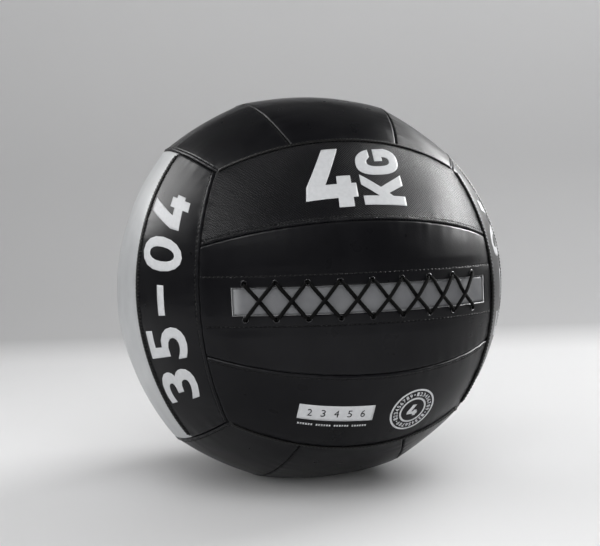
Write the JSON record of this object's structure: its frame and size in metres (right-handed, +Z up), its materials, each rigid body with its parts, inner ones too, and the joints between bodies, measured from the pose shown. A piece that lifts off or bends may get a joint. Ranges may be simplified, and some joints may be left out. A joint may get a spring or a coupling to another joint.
{
  "type": "wall ball",
  "caption": "Soft stuffed exercise ball of sewn synthetic leather strips, with a laced filling slit over a grey tongue and a weighted core.",
  "frame": {"origin": "on the floor, in the middle of the small flat that the ball rests on, straight below its centre", "axes": "+Z up; -Y towards the laced slit on the front face; +X to the right as the front face is seen"},
  "size_m": [0.3475, 0.3529, 0.3465],
  "materials": {
    "black_leather": "black coated fabric with a fine grain and a satin sheen",
    "ribbed_leather": "black coated fabric with fine slanting ribs",
    "silver_leather": "silver grey coated fabric, smooth, satin",
    "grey_tongue": "mid grey coated fabric, matt",
    "black_webbing": "woven tape",
    "eyelet_metal": "black enamel, glossy",
    "lace_cord": "round braided cord, waxed",
    "lining_cloth": "woven lining",
    "fibre_stuffing": "packed fibre and cloth offcuts",
    "core_canvas": "unbleached canvas",
    "tie_twine": "twisted twine",
    "ballast_sand": "dry sand"
  },
  "bodies": {
    "root": {"front_lower_panel": "black_leather", "front_laced_panel": "black_leather", "front_upper_panel": "ribbed_leather", "back_lower_panel": "black_leather", "back_middle_panel": "black_leather", "back_upper_panel": "black_leather", "left_front_panel": "black_leather", "left_middle_panel": "silver_leather", "left_back_panel": "black_leather", "right_back_panel": "black_leather", "right_middle_panel": "silver_leather", "right_front_panel": "black_leather", "top_right_panel": "black_leather", "top_middle_panel": "black_leather", "top_left_panel": "black_leather", "bottom_left_panel": "black_leather", "bottom_middle_panel": "black_leather", "bottom_right_panel": "black_leather", "lace_tongue": "grey_tongue", "upper_eyelet_tape": "black_webbing", "lower_eyelet_tape": "black_webbing", "upper_eyelet_1": "eyelet_metal", "lower_eyelet_1": "eyelet_metal", "upper_eyelet_2": "eyelet_metal", "lower_eyelet_2": "eyelet_metal", "upper_eyelet_3": "eyelet_metal", "lower_eyelet_3": "eyelet_metal", "upper_eyelet_4": "eyelet_metal", "lower_eyelet_4": "eyelet_metal", "upper_eyelet_5": "eyelet_metal", "lower_eyelet_5": "eyelet_metal", "upper_eyelet_6": "eyelet_metal", "lower_eyelet_6": "eyelet_metal", "upper_eyelet_7": "eyelet_metal", "lower_eyelet_7": "eyelet_metal", "upper_eyelet_8": "eyelet_metal", "lower_eyelet_8": "eyelet_metal", "upper_eyelet_9": "eyelet_metal", "lower_eyelet_9": "eyelet_metal", "falling_lace_cord": "lace_cord", "rising_lace_cord": "lace_cord", "inner_lining_bag": "lining_cloth", "upper_stuffing": "fibre_stuffing", "lower_stuffing": "fibre_stuffing", "core_bag": "core_canvas", "core_bag_tie": "tie_twine", "sand_ballast": "ballast_sand"}
  },
  "joints": []
}
